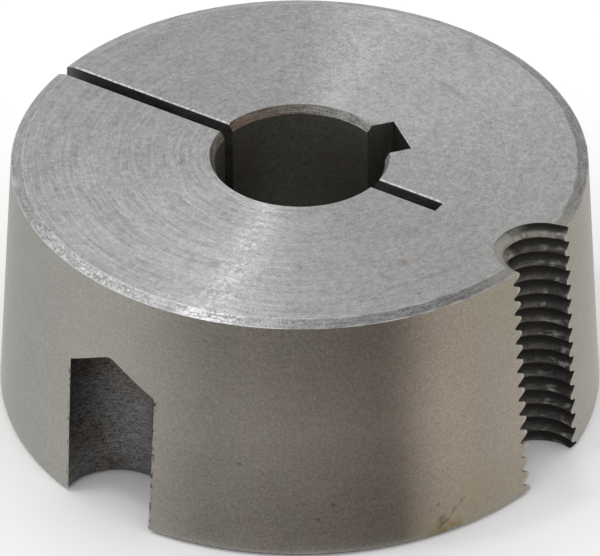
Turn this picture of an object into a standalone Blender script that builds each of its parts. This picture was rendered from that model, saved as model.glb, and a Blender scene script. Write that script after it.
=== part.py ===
"""Split taper bushing: one turned, drilled, tapped and sawn piece that locks a hub on a shaft.

Metres, +Z up. The origin is the middle of the bore on the large end face. +Z runs to
the small end and +X through the middle of the keyway.
"""

import math

import bmesh
import bpy
from mathutils import Matrix

MM = 0.001
INCH = 0.0254

# Turned body: a cone with its large end down
LENGTH = 25.0 * MM
LARGE_END_DIAMETER = 2.25 * INCH
TAPER_PER_SIDE = math.radians(4.0)
LARGE_END_CHAMFER = 0.4 * MM
SMALL_END_CHAMFER_WIDTH = 1.15 * MM
SMALL_END_CHAMFER_HEIGHT = 0.36 * MM
BODY_STEPS = 120

# Bore, chamfered at both mouths
BORE_DIAMETER = 0.625 * INCH
BORE_CHAMFER_WIDTH = 0.46 * MM
BORE_CHAMFER_HEIGHT = 0.78 * MM

# Keyway, open along the whole bore
KEYWAY_WIDTH = 0.1875 * INCH
KEYWAY_DEPTH = 2.2 * MM

# Saw cuts on one line: one through the wall, one part of the way
SAW_LINE_ANGLE = math.radians(127.7)
SAW_KERF = 1.4 * MM
RELIEF_DEPTH = 7.4 * MM

# Screw holes, half in the bushing, on one hole circle
HOLE_CIRCLE_DIAMETER = 2.125 * INCH
TAPPED_HOLE_ANGLE = math.radians(-53.3)
PLAIN_HOLE_SPREAD = math.radians(95.0)

# Plain holes, drilled blind from the large end
PLAIN_HOLE_DIAMETER = 10.0 * MM
PLAIN_HOLE_DEPTH = 14.75 * MM
DRILL_POINT_ANGLE = math.radians(122.0)
PLAIN_MOUTH_BREAK = 0.5 * MM
PLAIN_HOLE_STEPS = 48

# Tapped hole for the jack screw, right through
THREAD_DIAMETER = 0.375 * INCH
THREAD_PITCH = INCH / 16.0
THREAD_ANGLE = math.radians(60.0)
THREAD_ROOT_FLAT = THREAD_PITCH / 8.0
THREAD_CREST_FLAT = THREAD_PITCH / 4.0
THREAD_ROOT_HEIGHT = 0.18 * MM
TAPPED_MOUTH_BREAK = 0.25 * MM
THREAD_STEPS = 36
TAP_DRILL_STEPS = 44

# How far a cutter runs past the faces that it opens
CUT_OVERRUN = 2.0 * MM
# How far the thread's ridge reaches back into its core
RIDGE_ROOT = 0.1 * MM

STEEL_COLOUR = (0.36, 0.35, 0.34, 1.0)
STEEL_ROUGHNESS = 0.35
# Edges turn sharp above this angle: wider than one facet of any round surface
SHARP_ANGLE = math.radians(14.0)


def clear_scene():
    """Remove the objects that a new file holds."""
    for obj in list(bpy.data.objects):
        bpy.data.objects.remove(obj, do_unlink=True)


def new_collection(name):
    """Add a collection to the scene."""
    collection = bpy.data.collections.new(name)
    bpy.context.scene.collection.children.link(collection)
    return collection


def turned(name, profile, steps, collection, axis_at=(0.0, 0.0), merge=True):
    """Turn a profile of (radius, height) points round a vertical axis.

    The profile runs down its outer side, and it is a closed loop when its ends aren't on the axis.
    """
    mesh = bpy.data.meshes.new(name)
    points = [(radius, 0.0, height) for radius, height in profile]
    edges = [(i, i + 1) for i in range(len(points) - 1)]
    on_axis = profile[0][0] == 0.0 and profile[-1][0] == 0.0
    if not on_axis:
        edges.append((len(points) - 1, 0))
    mesh.from_pydata(points, edges, [])
    obj = bpy.data.objects.new(name, mesh)
    obj.location = (axis_at[0], axis_at[1], 0.0)
    collection.objects.link(obj)
    screw = obj.modifiers.new("turn", "SCREW")
    screw.axis = "Z"
    screw.angle = math.tau
    screw.steps = steps
    screw.render_steps = steps
    screw.use_merge_vertices = merge
    screw.merge_threshold = 0.000001
    return obj


def body_profile():
    """Points of the wall's section: down the cone, along the large end, up the bore."""
    taper = math.tan(TAPER_PER_SIDE)
    bore = BORE_DIAMETER / 2.0
    mouth = bore + BORE_CHAMFER_WIDTH
    large = LARGE_END_DIAMETER / 2.0
    shoulder = LENGTH - SMALL_END_CHAMFER_HEIGHT
    small = large - shoulder * taper
    heel = large - LARGE_END_CHAMFER * taper
    return [
        (small - SMALL_END_CHAMFER_WIDTH, LENGTH),
        (small, shoulder),
        (heel, LARGE_END_CHAMFER),
        (heel - LARGE_END_CHAMFER, 0.0),
        (mouth, 0.0),
        (bore, BORE_CHAMFER_HEIGHT),
        (bore, LENGTH - BORE_CHAMFER_HEIGHT),
        (mouth, LENGTH),
    ]


def box_cutter(name, start, end, width, angle, collection):
    """A box through the whole length, from one radius to another along a direction."""
    middle = (start + end) / 2.0
    bpy.ops.mesh.primitive_cube_add(size=1.0)
    box = bpy.context.object
    box.name = name
    size = (end - start, width, LENGTH + 2.0 * CUT_OVERRUN)
    place = Matrix.Translation((middle, 0.0, LENGTH / 2.0)) @ Matrix.Diagonal((*size, 1.0))
    box.data.transform(Matrix.Rotation(angle, 4, "Z") @ place)
    move_to(box, collection)
    return box


def move_to(obj, collection):
    """Put an object in one collection only."""
    for other in list(obj.users_collection):
        other.objects.unlink(obj)
    collection.objects.link(obj)


def hole_axis(angle):
    """Where a screw hole's axis crosses the large end face."""
    radius = HOLE_CIRCLE_DIAMETER / 2.0
    return (radius * math.cos(angle), radius * math.sin(angle))


def plain_hole_cutter(name, angle, collection):
    """A drilled hole with its drill point above and its broken edge at the large end."""
    radius = PLAIN_HOLE_DIAMETER / 2.0
    point = radius / math.tan(DRILL_POINT_ANGLE / 2.0)
    mouth = radius + PLAIN_MOUTH_BREAK + CUT_OVERRUN
    profile = [
        (0.0, PLAIN_HOLE_DEPTH + point),
        (radius, PLAIN_HOLE_DEPTH),
        (radius, PLAIN_MOUTH_BREAK),
        (mouth, -CUT_OVERRUN),
        (0.0, -CUT_OVERRUN),
    ]
    return turned(name, profile, PLAIN_HOLE_STEPS, collection, hole_axis(angle))


def thread_depth():
    """Height of the thread's flanks across the hole."""
    flank = (THREAD_PITCH - THREAD_ROOT_FLAT - THREAD_CREST_FLAT) / 2.0
    return flank / math.tan(THREAD_ANGLE / 2.0)


def tap_drill_cutter(name, collection):
    """The hole before it is tapped, with a broken edge at each mouth."""
    radius = THREAD_DIAMETER / 2.0 - thread_depth()
    profile = [
        (0.0, LENGTH + CUT_OVERRUN),
        (radius + TAPPED_MOUTH_BREAK + CUT_OVERRUN, LENGTH + CUT_OVERRUN),
        (radius, LENGTH - TAPPED_MOUTH_BREAK),
        (radius, TAPPED_MOUTH_BREAK),
        (radius + TAPPED_MOUTH_BREAK + CUT_OVERRUN, -CUT_OVERRUN),
        (0.0, -CUT_OVERRUN),
    ]
    drill = turned(name, profile, TAP_DRILL_STEPS, collection, hole_axis(TAPPED_HOLE_ANGLE))
    # Half a step round, so that its edges don't lie on those of the thread
    drill.rotation_euler = (0.0, 0.0, math.pi / TAP_DRILL_STEPS)
    return drill


def thread_cutter(name, collection):
    """The tap's cutting ridge: a V section carried up a right-hand helix."""
    root = THREAD_DIAMETER / 2.0
    crest = root - thread_depth()
    base = THREAD_ROOT_FLAT / 2.0 + (root - crest + RIDGE_ROOT) * math.tan(THREAD_ANGLE / 2.0)
    turns = math.ceil((LENGTH + 2.0 * CUT_OVERRUN) / THREAD_PITCH)
    first = THREAD_ROOT_HEIGHT - math.ceil(CUT_OVERRUN / THREAD_PITCH) * THREAD_PITCH
    profile = [
        (crest - RIDGE_ROOT, first + base),
        (root, first + THREAD_ROOT_FLAT / 2.0),
        (root, first - THREAD_ROOT_FLAT / 2.0),
        (crest - RIDGE_ROOT, first - base),
    ]
    axis_at = hole_axis(TAPPED_HOLE_ANGLE)
    ridge = turned(name, profile, THREAD_STEPS, collection, axis_at, merge=False)
    screw = ridge.modifiers["turn"]
    screw.screw_offset = THREAD_PITCH
    screw.iterations = turns
    close_ends(ridge)
    return ridge


def apply_modifiers(obj):
    """Put the mesh that the modifiers make in place of the object's own, and return it."""
    evaluated = obj.evaluated_get(bpy.context.evaluated_depsgraph_get())
    mesh = bpy.data.meshes.new_from_object(evaluated)
    mesh.name = obj.name
    obj.modifiers.clear()
    obj.data = mesh
    return mesh


def close_ends(ridge):
    """Close the ridge's two open ends."""
    mesh = apply_modifiers(ridge)
    form = bmesh.new()
    form.from_mesh(mesh)
    rims = [edge for edge in form.edges if edge.is_boundary]
    bmesh.ops.holes_fill(form, edges=rims)
    bmesh.ops.recalc_face_normals(form, faces=form.faces)
    form.to_mesh(mesh)
    form.free()


def cut(body, cutter):
    """Take a cutter's shape out of the body."""
    cutter.hide_render = True
    cutter.display_type = "WIRE"
    boolean = body.modifiers.new(cutter.name, "BOOLEAN")
    boolean.operation = "DIFFERENCE"
    boolean.solver = "EXACT"
    boolean.object = cutter


def machined_steel():
    """Bare machined steel."""
    material = bpy.data.materials.new("machined_steel")
    material.use_nodes = True
    shader = material.node_tree.nodes["Principled BSDF"]
    shader.inputs["Base Color"].default_value = STEEL_COLOUR
    shader.inputs["Roughness"].default_value = STEEL_ROUGHNESS
    shader.inputs["Metallic"].default_value = 1.0
    return material


def main():
    clear_scene()
    parts = new_collection("split_taper_bushing")
    cutters = new_collection("cutters")
    bushing = turned("bushing", body_profile(), BODY_STEPS, parts)
    bushing.data.materials.append(machined_steel())

    bore = BORE_DIAMETER / 2.0
    outside = LARGE_END_DIAMETER / 2.0 + CUT_OVERRUN
    start = bore / 2.0
    cuts = [
        box_cutter("keyway", start, bore + KEYWAY_DEPTH, KEYWAY_WIDTH, 0.0, cutters),
        box_cutter("split", start, outside, SAW_KERF, SAW_LINE_ANGLE, cutters),
        box_cutter(
            "relief", start, bore + RELIEF_DEPTH, SAW_KERF, SAW_LINE_ANGLE + math.pi, cutters
        ),
        plain_hole_cutter("plain_hole_a", TAPPED_HOLE_ANGLE - PLAIN_HOLE_SPREAD, cutters),
        plain_hole_cutter("plain_hole_b", TAPPED_HOLE_ANGLE + PLAIN_HOLE_SPREAD, cutters),
        tap_drill_cutter("tap_drill", cutters),
        thread_cutter("thread", cutters),
    ]
    for cutter in cuts:
        cut(bushing, cutter)
    mesh = apply_modifiers(bushing)
    mesh.shade_smooth()
    mesh.set_sharp_from_angle(angle=SHARP_ANGLE)


main()
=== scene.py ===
"""The finished look of a bare steel split taper bushing, standing on its large end."""

import math

import bpy
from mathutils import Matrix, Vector


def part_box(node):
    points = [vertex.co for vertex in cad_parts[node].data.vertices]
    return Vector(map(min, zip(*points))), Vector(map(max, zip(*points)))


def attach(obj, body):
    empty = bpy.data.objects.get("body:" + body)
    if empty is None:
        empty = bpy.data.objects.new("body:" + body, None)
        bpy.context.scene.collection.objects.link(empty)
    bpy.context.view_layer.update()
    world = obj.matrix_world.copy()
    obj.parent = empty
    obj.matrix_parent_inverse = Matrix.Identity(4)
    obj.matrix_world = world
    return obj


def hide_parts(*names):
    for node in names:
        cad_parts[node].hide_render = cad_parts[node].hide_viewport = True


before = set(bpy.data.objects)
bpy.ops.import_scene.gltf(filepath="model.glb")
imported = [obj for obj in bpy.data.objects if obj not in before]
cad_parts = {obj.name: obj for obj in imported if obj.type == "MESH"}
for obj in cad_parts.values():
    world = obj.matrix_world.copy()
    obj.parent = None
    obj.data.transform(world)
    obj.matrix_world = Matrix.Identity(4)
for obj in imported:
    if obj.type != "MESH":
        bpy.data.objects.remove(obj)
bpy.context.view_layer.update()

MM = 0.001
INCH = 0.0254

# The bushing's own sizes, standing in the frame's box
LOW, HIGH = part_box("bushing")
LENGTH = HIGH.z - LOW.z
LARGE_END_RADIUS = 2.25 * INCH / 2.0
TAPER_PER_SIDE = math.radians(4.0)
LARGE_END_CHAMFER = 0.4 * MM
SMALL_END_CHAMFER_WIDTH = 1.15 * MM
SMALL_END_CHAMFER_HEIGHT = 0.36 * MM
BORE_RADIUS = 0.625 * INCH / 2.0
BORE_CHAMFER_WIDTH = 0.46 * MM
BORE_CHAMFER_HEIGHT = 0.78 * MM
KEYWAY_WIDTH = 0.1875 * INCH
KEYWAY_DEPTH = 2.2 * MM
SAW_LINE_ANGLE = math.radians(127.7)
SAW_KERF = 1.4 * MM
RELIEF_DEPTH = 7.4 * MM
HOLE_CIRCLE_RADIUS = 2.125 * INCH / 2.0
TAPPED_HOLE_ANGLE = math.radians(-53.3)
PLAIN_HOLE_SPREAD = math.radians(95.0)
PLAIN_HOLE_RADIUS = 5.0 * MM
PLAIN_HOLE_DEPTH = 14.75 * MM
DRILL_POINT_ANGLE = math.radians(122.0)
PLAIN_MOUTH_BREAK = 0.5 * MM
THREAD_RADIUS = 0.375 * INCH / 2.0
THREAD_PITCH = INCH / 16.0
THREAD_ANGLE = math.radians(60.0)
THREAD_ROOT_FLAT = THREAD_PITCH / 8.0
THREAD_CREST_FLAT = THREAD_PITCH / 4.0
THREAD_ROOT_HEIGHT = 0.18 * MM
TAPPED_MOUTH_BREAK = 0.25 * MM

SMALL_END_RADIUS = LARGE_END_RADIUS - (LENGTH - SMALL_END_CHAMFER_HEIGHT) * math.tan(TAPER_PER_SIDE)
THREAD_FLANK = (THREAD_PITCH - THREAD_ROOT_FLAT - THREAD_CREST_FLAT) / 2.0
THREAD_DEPTH = THREAD_FLANK / math.tan(THREAD_ANGLE / 2.0)

# How far a cutter runs past the faces that it opens, how far the tap's ridge reaches back into
# its core, and how far inside the thread's root its helix runs
CUT_OVERRUN = 2.0 * MM
RIDGE_ROOT = 0.1 * MM
HELIX_INSET = 1.0 * MM

# Edges with their burr knocked off, and the torn look of the thread
SPLIT_EDGE_BREAK = 0.13 * MM
KEYWAY_EDGE_BREAK = 0.08 * MM
CREST_BREAK = 0.14 * MM
CREST_BREAK_RISE = 0.10 * MM
TEAR_SIZE = 0.5 * MM
TEAR_DEPTH = 0.05 * MM

# Facets of the round surfaces
BODY_STEPS = 360
DRILL_STEPS = 96
THREAD_STEPS = 72
TAP_DRILL_STEPS = 80
LATHE_RADIUS = 10.0 * MM
WELD_DISTANCE = 0.001 * MM
SHARP_ANGLE = math.radians(10.0)

# A face counts as an end, or as sloped, when it lies more level than this: 1 is flat
LEVEL_TILT = 0.99
SLOPED_TILT = 0.3
# A face belongs to the bore inside this share of its chamfer's width
BORE_SHARE = 0.9

# The camera. In the studio, X is to the right of its view and Y is away from it
CAMERA_AZIMUTH = math.radians(-109.3)
CAMERA_ELEVATION = math.radians(35.884)
CAMERA_DISTANCE = 529.11 * MM
CAMERA_TARGET = (0.0298 * MM, 0.0, 10.869 * MM)
CAMERA_LENS = 336.33
CAMERA_SENSOR = 36.0

# A quarter turn of a highlight: from along the marks to across them
ACROSS_THE_MARKS = 0.25
# The middle of a random grain's tones, and of the way from one colour to another
HALFWAY = 0.5


class Number:
    """A number in a node tree, on which Python's own signs add Math nodes."""

    def __init__(self, tree, socket):
        self.tree = tree
        self.socket = socket

    def maths(self, operation, *others, clamp=False):
        return maths(self.tree, operation, self, *others, clamp=clamp)

    def __add__(self, other):
        return self.maths("ADD", other)

    def __sub__(self, other):
        return self.maths("SUBTRACT", other)

    def __rsub__(self, other):
        return maths(self.tree, "SUBTRACT", other, self)

    def __mul__(self, other):
        return self.maths("MULTIPLY", other)

    def __truediv__(self, other):
        return self.maths("DIVIDE", other)

    def __neg__(self):
        return self.maths("MULTIPLY", -1.0)

    def __lt__(self, other):
        return self.maths("LESS_THAN", other)

    def __gt__(self, other):
        return self.maths("GREATER_THAN", other)

    def __abs__(self):
        return self.maths("ABSOLUTE")

    def held(self):
        """The number, kept from 0 to 1."""
        return self.maths("ADD", 0.0, clamp=True)

    def floored(self):
        """The number, or 0 where it is less."""
        return self.maths("MAXIMUM", 0.0)

    __radd__ = __add__
    __rmul__ = __mul__


def add(tree, kind, inputs=None, **settings):
    """Add a node, set its options, and feed its inputs with values or other nodes' outputs."""
    node = tree.nodes.new(kind)
    for name, value in settings.items():
        setattr(node, name, value)
    for name, value in (inputs or {}).items():
        feed(tree, node.inputs[name], value)
    return node


def feed(tree, socket, value):
    """Link an output to a socket, or set the socket's own value."""
    if isinstance(value, Number):
        value = value.socket
    if isinstance(value, bpy.types.NodeSocket):
        tree.links.new(value, socket)
    else:
        socket.default_value = value


def maths(tree, operation, *values, clamp=False):
    """One step of arithmetic on numbers."""
    node = add(tree, "ShaderNodeMath", operation=operation, use_clamp=clamp)
    for socket, value in zip(node.inputs, values):
        feed(tree, socket, value)
    return Number(tree, node.outputs[0])


def vector(tree, x=0.0, y=0.0, z=0.0):
    """Three numbers made a vector."""
    return add(tree, "ShaderNodeCombineXYZ", {"X": x, "Y": y, "Z": z}).outputs[0]


def vector_maths(tree, operation, first, second):
    """One step of arithmetic on vectors, or on a vector and the number that scales it."""
    socket = "Scale" if operation == "SCALE" else 1
    return add(tree, "ShaderNodeVectorMath", {0: first, socket: second}, operation=operation)


def new_object(name, data):
    """A new object in the scene."""
    obj = bpy.data.objects.new(name, data)
    bpy.context.scene.collection.objects.link(obj)
    return obj


def new_material(name):
    """A new material with its nodes."""
    material = bpy.data.materials.new(name)
    material.use_nodes = True
    return material


# Shapes, each a chain of geometry nodes


def start_shape(name, sizes):
    """A shape's tree with a named input for each size, and those inputs by name."""
    tree = bpy.data.node_groups.new(name, "GeometryNodeTree")
    tree.interface.new_socket("Geometry", in_out="OUTPUT", socket_type="NodeSocketGeometry")
    for size in sizes:
        tree.interface.new_socket(size, in_out="INPUT", socket_type="NodeSocketFloat")
    start = tree.nodes.new("NodeGroupInput")
    return tree, {size: Number(tree, start.outputs[size]) for size in sizes}


def make_mesh(name, tree, sizes):
    """Run a shape's tree at its sizes, and keep what it makes as a plain mesh object."""
    obj = new_object(name, bpy.data.meshes.new(name))
    modifier = obj.modifiers.new(name, "NODES")
    modifier.node_group = tree
    for item in tree.interface.items_tree:
        if item.in_out == "INPUT":
            modifier[item.identifier] = sizes[item.name]
    evaluated = obj.evaluated_get(bpy.context.evaluated_depsgraph_get())
    mesh = bpy.data.meshes.new_from_object(evaluated)
    mesh.name = name
    obj.modifiers.clear()
    obj.data = mesh
    return obj


def outline(tree, points, closed=True):
    """An outline through (X, Y) points, whose numbers are inputs or sums of them."""
    line = add(tree, "GeometryNodeMeshLine", {"Count": len(points)})
    index = add(tree, "GeometryNodeInputIndex").outputs[0]
    columns = []
    for column in range(2):
        switch = add(tree, "GeometryNodeIndexSwitch", data_type="FLOAT")
        while len(switch.index_switch_items) < len(points):
            switch.index_switch_items.new()
        feed(tree, switch.inputs["Index"], index)
        for place, point in enumerate(points):
            feed(tree, switch.inputs[place + 1], point[column])
        columns.append(switch.outputs[0])
    placed = add(
        tree,
        "GeometryNodeSetPosition",
        {"Geometry": line.outputs[0], "Position": vector(tree, columns[0], columns[1])},
    )
    curve = add(tree, "GeometryNodeMeshToCurve", {"Mesh": placed.outputs[0]})
    loop = add(
        tree, "GeometryNodeSetSplineCyclic", {"Geometry": curve.outputs[0], "Cyclic": closed}
    )
    return loop.outputs[0]


def swept(tree, path, profile, caps=False):
    """A profile carried round the Z axis along a path: its X points outwards and its Y down."""
    upright = add(tree, "GeometryNodeSetCurveNormal", {"Curve": path}, mode="Z_UP")
    tube = add(
        tree,
        "GeometryNodeCurveToMesh",
        {"Curve": upright.outputs[0], "Profile Curve": profile, "Fill Caps": caps},
    )
    return tube.outputs[0]


def turned(tree, points, steps, solid=False):
    """(radius, height) points turned about the Z axis: a ring, or a solid with its ends on it."""
    across = [(radius - LATHE_RADIUS, -height) for radius, height in points]
    path = add(
        tree, "GeometryNodeCurvePrimitiveCircle", {"Resolution": steps, "Radius": LATHE_RADIUS}
    )
    shape = swept(tree, path.outputs[0], outline(tree, across, closed=not solid))
    welded = add(
        tree, "GeometryNodeMergeByDistance", {"Geometry": shape, "Distance": WELD_DISTANCE}
    )
    return welded.outputs[0]


def moved(tree, geometry, **change):
    """Geometry shifted by a Translation or turned by a Rotation."""
    return add(tree, "GeometryNodeTransform", {"Geometry": geometry, **change}).outputs[0]


def placed(tree, geometry, angle, radius=0.0):
    """Geometry turned about the Z axis, after it has moved out along X to a radius."""
    out = moved(tree, geometry, Translation=vector(tree, radius))
    return moved(tree, out, Rotation=vector(tree, z=angle))


def dressed(tree, geometry, material, selection=True):
    """Geometry, or some of its faces, given a finish."""
    node = add(
        tree,
        "GeometryNodeSetMaterial",
        {"Geometry": geometry, "Selection": selection, "Material": material},
    )
    return node.outputs[0]


def tilt_of_faces(tree):
    """How level each face lies: 1 where it is flat, 0 where it stands upright."""
    normal = add(tree, "GeometryNodeInputNormal").outputs[0]
    parts = add(tree, "ShaderNodeSeparateXYZ", {"Vector": normal})
    return abs(Number(tree, parts.outputs["Z"]))


def torn(tree, geometry, size, depth):
    """Geometry whose points are moved at random by up to a depth, in blobs of a size."""
    noise = add(tree, "ShaderNodeTexNoise", {"Scale": 1.0 / size, "Detail": 1.0})
    way = vector_maths(tree, "SUBTRACT", noise.outputs["Color"], (HALFWAY,) * 3)
    shift = vector_maths(tree, "SCALE", way.outputs[0], depth / HALFWAY)
    roughened = add(
        tree, "GeometryNodeSetPosition", {"Geometry": geometry, "Offset": shift.outputs[0]}
    )
    return roughened.outputs[0]


def blank(tree, size, finishes):
    """The turned blank, with a finish for each surface that the lathe leaves."""
    taper = size["Taper"]
    shoulder = size["Length"] - size["Small End Chamfer Height"]
    small = size["Large End Radius"] - shoulder * taper
    heel = size["Large End Radius"] - size["Large End Chamfer"] * taper
    mouth = size["Bore Radius"] + size["Bore Chamfer Width"]
    points = [
        (small - size["Small End Chamfer Width"], size["Length"]),
        (small, shoulder),
        (heel, size["Large End Chamfer"]),
        (heel - size["Large End Chamfer"], 0.0),
        (mouth, 0.0),
        (size["Bore Radius"], size["Bore Chamfer Height"]),
        (size["Bore Radius"], size["Length"] - size["Bore Chamfer Height"]),
        (mouth, size["Length"]),
    ]
    body = turned(tree, points, BODY_STEPS)

    position = add(tree, "ShaderNodeSeparateXYZ")
    tree.links.new(add(tree, "GeometryNodeInputPosition").outputs[0], position.inputs[0])
    x, y = Number(tree, position.outputs["X"]), Number(tree, position.outputs["Y"])
    radius = (x * x + y * y).maths("SQRT")
    tilt = tilt_of_faces(tree)

    level = tilt > LEVEL_TILT
    inner = radius < (size["Bore Radius"] + size["Bore Chamfer Width"] * BORE_SHARE)
    sloped = tilt > SLOPED_TILT
    body = dressed(tree, body, finishes["ground_taper"])
    body = dressed(tree, body, finishes["rim_chamfer"], sloped)
    body = dressed(tree, body, finishes["bored_wall"], inner)
    body = dressed(tree, body, finishes["bore_chamfer"], inner * sloped)
    return dressed(tree, body, finishes["turned_face"], level)


def slot_cutter(tree, size, start, end, width, edge_break, angle, finish, edge_finish):
    """A slot through the whole length, from one radius to another along a direction.

    Its section flares at both ends of the bushing, where it breaks the slot's edges.
    """
    half = width / 2.0
    flare = half + edge_break + CUT_OVERRUN
    top, bottom = -size["Length"], 0.0
    section = [
        (-flare, top - CUT_OVERRUN),
        (flare, top - CUT_OVERRUN),
        (half, top + edge_break),
        (half, -edge_break),
        (flare, bottom + CUT_OVERRUN),
        (-flare, bottom + CUT_OVERRUN),
        (-half, -edge_break),
        (-half, top + edge_break),
    ]
    path = add(
        tree,
        "GeometryNodeCurvePrimitiveLine",
        {"Start": vector(tree, start), "End": vector(tree, end)},
    )
    slot = swept(tree, path.outputs[0], outline(tree, section), caps=True)
    slot = placed(tree, slot, angle)
    slot = dressed(tree, slot, finish)
    return dressed(tree, slot, edge_finish, tilt_of_faces(tree) > SLOPED_TILT)


def plain_hole_cutter(tree, size, angle, finish):
    """A drilled hole with its drill point above and its broken edge at the large end."""
    radius = size["Plain Hole Radius"]
    depth = size["Plain Hole Depth"]
    mouth_break = size["Plain Mouth Break"]
    point = radius / math.tan(DRILL_POINT_ANGLE / 2.0)
    points = [
        (0.0, depth + point),
        (radius, depth),
        (radius, mouth_break),
        (radius + mouth_break + CUT_OVERRUN, -CUT_OVERRUN),
        (0.0, -CUT_OVERRUN),
    ]
    hole = turned(tree, points, DRILL_STEPS, solid=True)
    return dressed(tree, placed(tree, hole, angle, size["Hole Circle Radius"]), finish)


def tap_drill_cutter(tree, size, finish):
    """The hole before it is tapped, with a broken edge at each mouth."""
    radius = size["Thread Radius"] - size["Thread Depth"]
    mouth_break = size["Tapped Mouth Break"]
    length = size["Length"]
    points = [
        (0.0, length + CUT_OVERRUN),
        (radius + mouth_break + CUT_OVERRUN, length + CUT_OVERRUN),
        (radius, length - mouth_break),
        (radius, mouth_break),
        (radius + mouth_break + CUT_OVERRUN, -CUT_OVERRUN),
        (0.0, -CUT_OVERRUN),
    ]
    hole = turned(tree, points, TAP_DRILL_STEPS, solid=True)
    # Half a step round, so that its edges don't lie on those of the thread
    hole = placed(tree, hole, math.pi / TAP_DRILL_STEPS)
    hole = placed(tree, hole, size["Tapped Hole Angle"], size["Hole Circle Radius"])
    return dressed(tree, hole, finish)


def thread_cutter(tree, size, finish):
    """The tap's cutting ridge: a V section carried up a right-hand helix."""
    root = size["Thread Radius"]
    crest = root - size["Thread Depth"]
    slope = math.tan(THREAD_ANGLE / 2.0)
    flat = THREAD_ROOT_FLAT / 2.0
    shoulder = (size["Thread Depth"] - CREST_BREAK) * slope + flat
    base = shoulder + CREST_BREAK_RISE + CREST_BREAK * slope + RIDGE_ROOT
    turns = math.ceil((LENGTH + 2.0 * CUT_OVERRUN) / THREAD_PITCH)
    first = THREAD_ROOT_HEIGHT - math.ceil(CUT_OVERRUN / THREAD_PITCH) * THREAD_PITCH
    helix_radius = THREAD_RADIUS - HELIX_INSET
    inner = crest - RIDGE_ROOT - helix_radius
    bend = crest + CREST_BREAK - helix_radius
    outer = root - helix_radius
    profile = outline(
        tree,
        [
            (inner, -base),
            (bend, -shoulder),
            (outer, -flat),
            (outer, flat),
            (bend, shoulder),
            (inner, base),
        ],
    )
    helix = add(
        tree,
        "GeometryNodeCurveSpiral",
        {
            "Resolution": THREAD_STEPS,
            "Rotations": float(turns),
            "Start Radius": helix_radius,
            "End Radius": helix_radius,
            "Height": turns * THREAD_PITCH,
            "Reverse": True,
        },
    )
    ridge = swept(tree, helix.outputs[0], profile, caps=True)
    ridge = moved(tree, ridge, Translation=vector(tree, z=first))
    ridge = torn(tree, ridge, TEAR_SIZE, TEAR_DEPTH)
    ridge = placed(tree, ridge, size["Tapped Hole Angle"], size["Hole Circle Radius"])
    return dressed(tree, ridge, finish)


BUSHING_SIZES = {
    "Length": LENGTH,
    "Large End Radius": LARGE_END_RADIUS,
    "Taper": math.tan(TAPER_PER_SIDE),
    "Large End Chamfer": LARGE_END_CHAMFER,
    "Small End Chamfer Width": SMALL_END_CHAMFER_WIDTH,
    "Small End Chamfer Height": SMALL_END_CHAMFER_HEIGHT,
    "Bore Radius": BORE_RADIUS,
    "Bore Chamfer Width": BORE_CHAMFER_WIDTH,
    "Bore Chamfer Height": BORE_CHAMFER_HEIGHT,
    "Keyway Width": KEYWAY_WIDTH,
    "Keyway Depth": KEYWAY_DEPTH,
    "Saw Kerf": SAW_KERF,
    "Saw Line Angle": SAW_LINE_ANGLE,
    "Relief Depth": RELIEF_DEPTH,
    "Hole Circle Radius": HOLE_CIRCLE_RADIUS,
    "Tapped Hole Angle": TAPPED_HOLE_ANGLE,
    "Plain Hole Spread": PLAIN_HOLE_SPREAD,
    "Plain Hole Radius": PLAIN_HOLE_RADIUS,
    "Plain Hole Depth": PLAIN_HOLE_DEPTH,
    "Plain Mouth Break": PLAIN_MOUTH_BREAK,
    "Thread Radius": THREAD_RADIUS,
    "Thread Depth": THREAD_DEPTH,
    "Tapped Mouth Break": TAPPED_MOUTH_BREAK,
    "Keyway Edge Break": KEYWAY_EDGE_BREAK,
    "Split Edge Break": SPLIT_EDGE_BREAK,
}


def make_bushing(finishes):
    """The bushing at full detail: turned, sawn, drilled and tapped from one blank."""
    tree, size = start_shape("bushing_shape", BUSHING_SIZES)
    start = size["Bore Radius"] / 2.0
    outside = size["Large End Radius"] + CUT_OVERRUN
    keyway_floor = size["Bore Radius"] + size["Keyway Depth"]
    relief_end = size["Bore Radius"] + size["Relief Depth"]
    saw_line = size["Saw Line Angle"]
    tapped = size["Tapped Hole Angle"]
    spread = size["Plain Hole Spread"]
    keyed, sawn, drilled = (finishes[name] for name in ("keyway_wall", "sawn_wall", "drilled_wall"))
    threaded, edge = finishes["tapped_thread"], finishes["broken_edge"]
    keyway_edge, split_edge = size["Keyway Edge Break"], size["Split Edge Break"]
    kerf = size["Saw Kerf"]
    cutters = [
        slot_cutter(
            tree, size, start, keyway_floor, size["Keyway Width"], keyway_edge, 0.0, keyed, edge
        ),
        slot_cutter(tree, size, start, outside, kerf, split_edge, saw_line, sawn, edge),
        slot_cutter(
            tree, size, start, relief_end, kerf, split_edge, saw_line + math.pi, sawn, edge
        ),
        plain_hole_cutter(tree, size, tapped - spread, drilled),
        plain_hole_cutter(tree, size, tapped + spread, drilled),
        tap_drill_cutter(tree, size, threaded),
        thread_cutter(tree, size, threaded),
    ]
    body = blank(tree, size, finishes)
    for cutter in cutters:
        boolean = add(
            tree,
            "GeometryNodeMeshBoolean",
            {"Mesh 1": body},
            operation="DIFFERENCE",
            solver="EXACT",
        )
        tree.links.new(cutter, boolean.inputs["Mesh 2"])
        body = boolean.outputs["Mesh"]
    real = add(tree, "GeometryNodeRealizeInstances", {"Geometry": body})
    end = tree.nodes.new("NodeGroupOutput")
    tree.links.new(real.outputs[0], end.inputs[0])
    return make_mesh("machined_bushing", tree, BUSHING_SIZES)


def finish_shading(obj):
    """Shade the round surfaces smooth and leave the real edges sharp."""
    obj.data.shade_smooth()
    obj.data.set_sharp_from_angle(angle=SHARP_ANGLE)


# Finishes

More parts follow.
